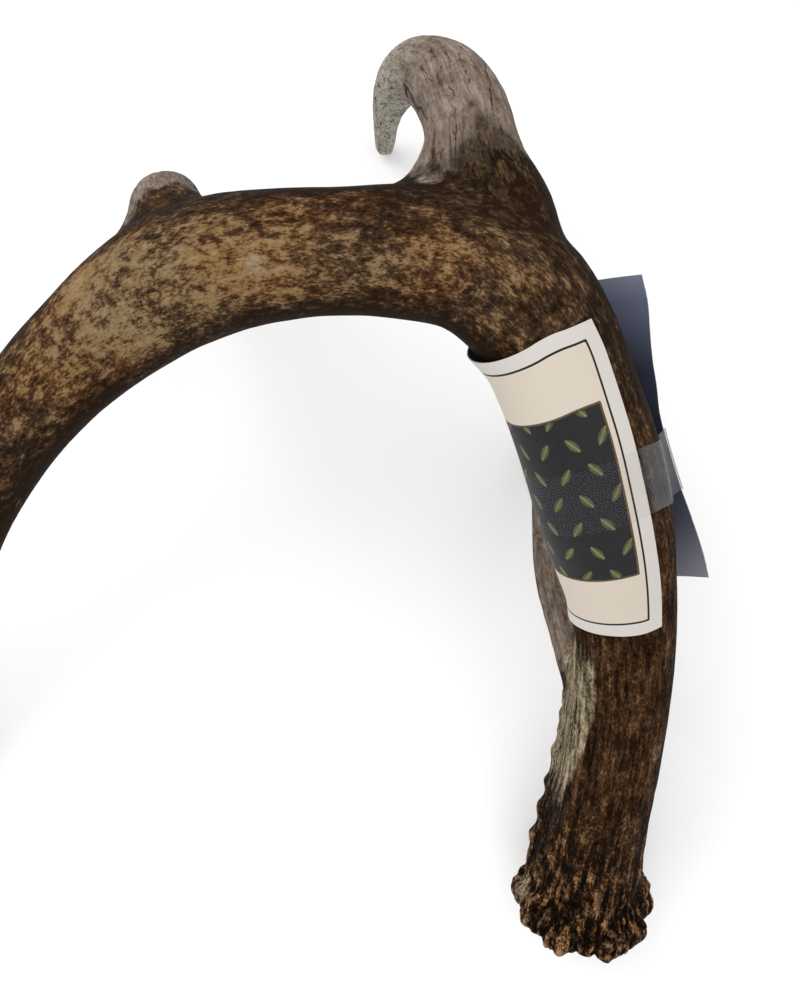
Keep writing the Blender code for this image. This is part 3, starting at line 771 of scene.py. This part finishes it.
    # The ridge gets painted highlights on its crests and painted shade in its hollows from the
    # curvature.
    ridge = ramped(maths("ADD", blended(streak=1.4, mottle=0.8, grain=1.0),
                         maths("MULTIPLY", value["curvature_highlight_and_shade"], 1.5)),
                   [(0.2, "2A2219"), (0.4, "544A3A"), (0.55, "766A55"), (0.75, "91846D"),
                    (0.95, "ABA188")])
    rim = maths("ADD", maths("MULTIPLY", value["ridge"], 2.0),
                blended(streak=1.4, patch=1.6, mottle=0.9))
    rim = maths("SUBTRACT", rim, 1.2, clamp=True)
    colour = mixed(rim, colour, ridge)

    split = maths("SUBTRACT", 1.0, maths("MULTIPLY", value["crack"], 5.0), clamp=True)
    colour = mixed(maths("MULTIPLY", split, 0.85), colour, linear("120C08"))

    height = blended(mottle=0.5, streak=0.8, grain=0.5)
    height = maths("SUBTRACT", height, maths("MULTIPLY", thin, value["bleach"]))
    height = maths("SUBTRACT", height, split)
    bump = add(tree, "ShaderNodeBump", {}, Strength=0.8, Distance=0.35 * MM, Height=height)
    gloss = add(tree, "ShaderNodeMapRange", {}, Value=blended(mottle=1.0, grain=1.0),
                From_Min=0.2, From_Max=0.8, To_Min=0.78, To_Max=0.5)
    shader = add(tree, "ShaderNodeBsdfPrincipled", {}, Base_Color=colour,
                 Roughness=gloss.outputs[0],
                 IOR=1.52, Specular_IOR_Level=0.015, Normal=bump.outputs[0])
    tree.links.new(shader.outputs[0], output.inputs["Surface"])
    return material


# Each ink of the card's print: (distance in mm from its edge, sRGB hex, how opaque).
INKS = {
    "print_inset": [(CARD_BORDER - 0.1, "E9E4DF", 1), (CARD_BORDER, "1D1B18", 1),
                    (CARD_BORDER + 0.5, "1D1B18", 1), (CARD_BORDER + 0.6, "EADFCF", 1)],
    "print_field": [(-0.6, "27272A", 1), (-0.4, "6B5A44", 1), (0.0, "6B5A44", 1),
                    (0.1, "6B5A44", 0)],
    "print_leaf": [(-0.8, "6A6E45", 1), (-0.2, "52573A", 1), (0.0, "15160F", 1),
                   (0.15, "15160F", 0)],
    "print_vein": [(-0.05, "9A9A70", 1), (0.1, "9A9A70", 0)],
}


def printed_card():
    """Coated card, ink-jet printed: smooth, faintly glossy, its inks a little uneven.

    Gives the eye a dark leaf-sprinkled field between bare bands, framed in white, on the
    outside, and bare bluish-grey board on the inside, with painted shade from the beam darkest
    across its middle.
    """
    material, tree, output = new_material("coated_card_inkjet_printed")
    colour = None
    mottle = add(tree, "ShaderNodeTexNoise", {}, Scale=1 / (1.6 * MM), Detail=4.0, Roughness=0.7)
    coordinates = add(tree, "ShaderNodeTexCoord")
    tree.links.new(coordinates.outputs["Object"], mottle.inputs["Vector"])
    for name, stops in INKS.items():
        distance = add(tree, "ShaderNodeAttribute", {"attribute_name": name})
        low, high = stops[0][0] - 0.01, stops[-1][0] + 0.01
        place = add(tree, "ShaderNodeMapRange", {}, Value=distance.outputs["Fac"], From_Min=low,
                    From_Max=high)
        ramped = add(tree, "ShaderNodeValToRGB", {}, Fac=place.outputs[0])
        colour_ramp(ramped, [((at - low) / (high - low), code) for at, code, _ in stops])
        for point, (_, _, opaque) in zip(ramped.color_ramp.elements, stops):
            point.color[3] = opaque
        if colour is None:
            colour = ramped.outputs["Color"]
            continue
        over = add(tree, "ShaderNodeMix", {"data_type": "RGBA"}, _0=ramped.outputs["Alpha"],
                   _6=colour,
                   _7=ramped.outputs["Color"])
        colour = over.outputs[2]
    uneven = add(tree, "ShaderNodeMapRange", {}, Value=mottle.outputs["Fac"], From_Min=0.3,
                 From_Max=0.7,
                 To_Min=0.7, To_Max=1.1)
    inked = add(tree, "ShaderNodeMix", {"data_type": "RGBA", "blend_type": "MULTIPLY"}, _0=1.0,
                _6=colour)
    tree.links.new(uneven.outputs[0], inked.inputs[7])
    dark = add(tree, "ShaderNodeMix", {"data_type": "RGBA"}, _6=inked.outputs[2], _7=colour)
    lightness = add(tree, "ShaderNodeRGBToBW", {}, Color=colour)
    pale = add(tree, "ShaderNodeMapRange", {}, Value=lightness.outputs[0], From_Min=0.25,
               From_Max=0.6)
    tree.links.new(pale.outputs[0], dark.inputs[0])
    back = add(tree, "ShaderNodeAttribute", {"attribute_name": "card_back"})
    # The bare back is bluish grey, with painted shade from the beam darkest across its middle and
    # lighter towards its top and foot.
    axes = add(tree, "ShaderNodeSeparateXYZ", {}, _0=coordinates.outputs["Object"])
    up_card = add(tree, "ShaderNodeMapRange", {}, Value=axes.outputs["Y"], From_Min=-20 * MM,
                  From_Max=70 * MM)
    back_painted_shade = add(tree, "ShaderNodeValToRGB", {}, Fac=up_card.outputs[0])
    colour_ramp(back_painted_shade, [(0.0, "A9ABB8"), (0.18, "6A6E80"), (0.4, "3C4154"), (0.65, "43485C"),
                        (0.85, "6E738A"), (1.0, "A2A6BC")])
    board = add(tree, "ShaderNodeMix", {"data_type": "RGBA"}, _0=back.outputs["Fac"],
                _6=dark.outputs[2],
                _7=back_painted_shade.outputs["Color"])
    shade = add(tree, "ShaderNodeMix", {"data_type": "RGBA", "blend_type": "MULTIPLY"}, _0=1.0,
                _6=board.outputs[2], _7=(0.66, 0.65, 0.64, 1.0))
    fibre = add(tree, "ShaderNodeTexNoise", {}, Scale=1 / (0.5 * MM), Detail=2.0)
    tree.links.new(coordinates.outputs["Object"], fibre.inputs["Vector"])
    bump = add(tree, "ShaderNodeBump", {}, Strength=0.25, Distance=0.06 * MM,
               Height=fibre.outputs["Fac"])
    shader = add(tree, "ShaderNodeBsdfPrincipled", {}, Base_Color=shade.outputs[2],
                 Roughness=0.55, IOR=1.5,
                 Specular_IOR_Level=0.2, Normal=bump.outputs[0])
    tree.links.new(shader.outputs[0], output.inputs["Surface"])
    return material


def clear_tape():
    """Polypropylene parcel tape, stretched and rolled: thin, slightly milky, glossy.

    Gives the eye a milky grey film over the dark beam, painted sheen of the film's reflection with
    its slight milkiness, fainter where it lies on the card, and fine creases that catch the light.
    """
    material, tree, output = new_material("polypropylene_tape_film")
    coordinates = add(tree, "ShaderNodeAttribute", {"attribute_name": "tape_way"})
    wide = add(tree, "ShaderNodeTexNoise", {"noise_type": "RIDGED_MULTIFRACTAL"},
               Vector=coordinates.outputs["Vector"], Scale=1 / (9 * MM), Detail=2.0)
    haze = add(tree, "ShaderNodeTexNoise", {}, Vector=coordinates.outputs["Vector"],
               Scale=1 / (5 * MM), Detail=3.0)
    # A grey film over what lies beneath: painted sheen of the reflection, with the film's slight
    # milkiness.
    painted_sheen_veil = add(tree, "ShaderNodeMapRange", {}, Value=haze.outputs["Fac"], From_Min=0.3,
               From_Max=0.7,
               To_Min=0.13, To_Max=0.2)
    # The painted sheen is thinned where the tape lies on the card.
    stuck = add(tree, "ShaderNodeAttribute", {"attribute_name": "tape_stuck"})
    clear = add(tree, "ShaderNodeMath", {"operation": "MULTIPLY_ADD"}, _0=stuck.outputs["Fac"],
                _1=-0.85, _2=1.0)
    painted_sheen_veil = add(tree, "ShaderNodeMath", {"operation": "MULTIPLY"}, _0=painted_sheen_veil.outputs[0],
               _1=clear.outputs[0])
    bump = add(tree, "ShaderNodeBump", {}, Strength=0.5, Distance=0.4 * MM,
               Height=wide.outputs["Fac"])
    shader = add(tree, "ShaderNodeBsdfPrincipled", {}, Base_Color=linear("6E6E74"), Roughness=0.22,
                 IOR=1.49, Alpha=painted_sheen_veil.outputs[0], Normal=bump.outputs[0])
    tree.links.new(shader.outputs[0], output.inputs["Surface"])
    return material


def white_paper_roll():
    """Matt white background paper, uncoated: gives the eye an even pale ground."""
    material, tree, output = new_material("uncoated_white_background_paper")
    fibre = add(tree, "ShaderNodeTexNoise", {}, Scale=1 / (3 * MM), Detail=3.0)
    coordinates = add(tree, "ShaderNodeTexCoord")
    tree.links.new(coordinates.outputs["Object"], fibre.inputs["Vector"])
    bump = add(tree, "ShaderNodeBump", {}, Strength=0.1, Distance=0.05 * MM,
               Height=fibre.outputs["Fac"])
    shader = add(tree, "ShaderNodeBsdfPrincipled", {}, Base_Color=linear("FAFAFA"), Roughness=0.9,
                 Specular_IOR_Level=0.1, Normal=bump.outputs[0])
    tree.links.new(shader.outputs[0], output.inputs["Surface"])
    return material


# Settings, operators and panel ---------------------------------------------------------------
class StageSettings(bpy.types.PropertyGroup):
    """The stage that the antler lies on."""

    key_power: bpy.props.FloatProperty(
        name="Key light", description="Power of the big soft light", default=9.0, min=0.0,
        unit="POWER"
    )
    fill: bpy.props.FloatProperty(
        name="Fill", description="Strength of the light from all round", default=1.0, min=0.0
    )
    camera_height: bpy.props.FloatProperty(
        name="Camera height", description="How far above the floor the camera hangs",
        default=0.48705, unit="LENGTH",
    )


class BoneSettings(bpy.types.PropertyGroup):
    """The antler's skin."""

    skin_grid: bpy.props.FloatProperty(
        name="Skin grid", description="Spacing of the skin's points before it is refined",
        default=1.5 * MM, min=0.5 * MM, unit="LENGTH",
    )


class CardSettings(bpy.types.PropertyGroup):
    """The printed card."""

    grid: bpy.props.FloatProperty(
        name="Print grid", description="Spacing of the points that carry the card's print",
        default=0.36 * MM, min=0.2 * MM, unit="LENGTH",
    )


class TapeSettings(bpy.types.PropertyGroup):
    """The strip of clear tape."""

    width: bpy.props.FloatProperty(
        name="Width", description="Width of the tape", default=18.5 * MM, min=5 * MM, unit="LENGTH"
    )


class ANTLER_OT_grow(bpy.types.Operator):
    """Grow the antler's skin over its sawn CAD pieces"""

    bl_idname = "antler.grow"
    bl_label = "Antler"

    def execute(self, context):
        settings = context.scene.antler_bone
        antler = joined_copy(BONE_NODES, "antler")
        # Swollen past the saw cuts, the pieces meet.
        swell(antler, CUT_SWELL)
        apply_modifier(antler, "REMESH", mode="VOXEL", voxel_size=settings.skin_grid)
        apply_modifier(antler, "SMOOTH", factor=0.5, iterations=9)
        swell(antler, SKIN_TRIM)
        skin = measure_skin(antler.data)
        fine = (skin["along"] < FINE_BELOW) | ((skin["back_out"] < 1.3) & (skin["back"][:, 2] > 30))
        bpy.ops.object.mode_set(mode="EDIT")
        bpy.ops.mesh.select_all(action="DESELECT")
        bpy.ops.object.mode_set(mode="OBJECT")
        antler.data.vertices.foreach_set("select", fine)
        corners = read(antler.data, antler.data.polygons, "vertices", 4)
        antler.data.polygons.foreach_set("select", fine[corners].all(1))
        bpy.ops.object.mode_set(mode="EDIT")
        bpy.ops.mesh.select_mode(type="FACE")
        bpy.ops.mesh.subdivide(number_cuts=1, quadcorner="INNERVERT")
        bpy.ops.mesh.select_all(action="SELECT")
        bpy.ops.mesh.quads_convert_to_tris()
        bpy.ops.object.mode_set(mode="OBJECT")
        apply_modifier(antler, "SMOOTH", factor=0.5, iterations=2)
        raise_relief(antler)
        colour_guides(antler)
        antler.data.materials.append(grown_antler())
        bpy.ops.object.shade_smooth()
        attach(antler, "root")
        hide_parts(*BONE_NODES)
        return {"FINISHED"}


class ANTLER_OT_card(bpy.types.Operator):
    """Wrap the printed card round the beam"""

    bl_idname = "antler.card"
    bl_label = "Card"

    def execute(self, context):
        settings = context.scene.antler_card
        lines = CardLines(bpy.data.objects["antler"])
        rows = np.arange(0, CARD_HEIGHT + 0.01, settings.grid / MM)
        fine, coarse = np.arange(0, 47, settings.grid / MM), np.arange(47.5, 100, 1.8)
        columns = np.concatenate([fine, coarse, [100.0]]) / 100 * (CARD_COLUMNS - 1)
        grid = finer(np.array(lines.card), rows / CARD_HEIGHT * (CARD_ROWS - 1), columns)
        steps = np.linalg.norm(np.diff(grid, axis=1), axis=2)
        across = np.concatenate([np.zeros((len(rows), 1)), np.cumsum(steps, 1)], 1)
        card, row, column = laid_sheet("card", grid)
        for name, distance in card_print(across[row, column], rows[row], CARD_HEIGHT).items():
            store(card.data, name, distance)
        apply_modifier(card, "SOLIDIFY", thickness=CARD_THICKNESS * MM, offset=1.0)
        # Solidify lifts the first points to the outer face, and adds the inner face's after them.
        store(card.data, "card_back", np.arange(len(card.data.vertices)) >= len(row))
        card.data.materials.append(printed_card())
        bpy.ops.object.shade_smooth_by_angle(angle=math.radians(40))
        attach(card, "root")
        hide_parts("paper_label")
        return {"FINISHED"}


class ANTLER_OT_tape(bpy.types.Operator):
    """Stick the strip of clear tape over the card and round its free edge"""

    bl_idname = "antler.tape"
    bl_label = "Tape"

    def execute(self, context):
        settings = context.scene.antler_tape
        lines = CardLines(bpy.data.objects["antler"])
        half = 0.5 * settings.width / MM / CARD_HEIGHT
        grid = np.array([lines.tape_row(share) for share in np.linspace(0.5 - half, 0.5 + half, 6)])
        rows, columns = np.linspace(0, 5, 26), np.linspace(0, len(grid[0]) - 1, 190)
        grid = finer(grid, rows, columns)
        tape, row, column = laid_sheet("tape", grid)
        store(tape.data, "tape_stuck", ramp(columns[column], 12.2, 13.2))
        store(tape.data, "tape_way", np.stack([column * 0.5, row * 0.72, row * 0.0], 1) * MM)
        apply_modifier(tape, "SOLIDIFY", thickness=TAPE_THICKNESS * MM, offset=1.0)
        tape.data.materials.append(clear_tape())
        bpy.ops.object.shade_smooth_by_angle(angle=math.radians(40))
        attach(tape, "root")
        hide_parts("tape_strip")
        return {"FINISHED"}


class ANTLER_OT_stage(bpy.types.Operator):
    """Set the pale floor, the soft lights and the camera"""

    bl_idname = "antler.stage"
    bl_label = "Stage"

    def execute(self, context):
        settings = context.scene.antler_stage
        bpy.ops.object.select_all(action="DESELECT")
        bpy.ops.mesh.primitive_plane_add(size=6.0, location=(0, 0, -0.0002))
        floor = context.active_object
        floor.name = "floor"
        floor.data.materials.append(white_paper_roll())
        middle = Vector((32.484, 2.987, 0.0)) * MM
        for name, place, size, power in (
            ("key", (-0.75, 0.85, 1.25), 0.9, settings.key_power),
            ("top", (0.25, -0.1, 1.6), 1.6, settings.key_power * 0.55),
        ):
            bpy.ops.object.light_add(type="AREA", location=place)
            light = context.active_object
            light.name = name
            light.data.size = size
            light.data.energy = power
            light.rotation_euler = (middle - Vector(place)).to_track_quat("-Z", "Y").to_euler()
        world = bpy.data.worlds.new("soft_room")
        world.use_nodes = True
        world.node_tree.nodes["Background"].inputs["Color"].default_value = linear("FFFFFF")
        world.node_tree.nodes["Background"].inputs["Strength"].default_value = settings.fill
        context.scene.world = world
        context.scene.view_settings.view_transform = "Standard"
        bpy.ops.object.camera_add(
            location=middle + Vector((0, 0, settings.camera_height)), rotation=(0, 0, 0)
        )
        camera = context.active_object
        camera.name = "camera"
        camera.data.sensor_width = 36.0
        camera.data.lens = 52.164
        camera.data.clip_start = 0.01
        context.scene.camera = camera
        return {"FINISHED"}


class ANTLER_PT_panel(bpy.types.Panel):
    """Lists the pieces and their settings"""

    bl_idname = "ANTLER_PT_panel"
    bl_label = "Deer antler"
    bl_space_type = "VIEW_3D"
    bl_region_type = "UI"
    bl_category = "Antler"

    def draw(self, context):
        for operator, settings in STEPS:
            box = self.layout.box()
            box.operator(operator.bl_idname)
            group = getattr(context.scene, settings)
            for name in group.bl_rna.properties.keys():
                if name not in ("rna_type", "name"):
                    box.prop(group, name)


STEPS = (
    (ANTLER_OT_grow, "antler_bone"),
    (ANTLER_OT_card, "antler_card"),
    (ANTLER_OT_tape, "antler_tape"),
    (ANTLER_OT_stage, "antler_stage"),
)
GROUPS = {
    "antler_bone": BoneSettings,
    "antler_card": CardSettings,
    "antler_tape": TapeSettings,
    "antler_stage": StageSettings,
}


def register():
    for group in GROUPS.values():
        bpy.utils.register_class(group)
    for operator, _ in STEPS:
        bpy.utils.register_class(operator)
    bpy.utils.register_class(ANTLER_PT_panel)
    for name, group in GROUPS.items():
        setattr(bpy.types.Scene, name, bpy.props.PointerProperty(type=group))


def unregister():
    for name in GROUPS:
        delattr(bpy.types.Scene, name)
    bpy.utils.unregister_class(ANTLER_PT_panel)
    for operator, _ in reversed(STEPS):
        bpy.utils.unregister_class(operator)
    for group in reversed(list(GROUPS.values())):
        bpy.utils.unregister_class(group)


def main():
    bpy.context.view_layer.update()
    register()
    for step in ("grow", "card", "tape", "stage"):
        getattr(bpy.ops.antler, step)()


if __name__ == "__main__":
    main()
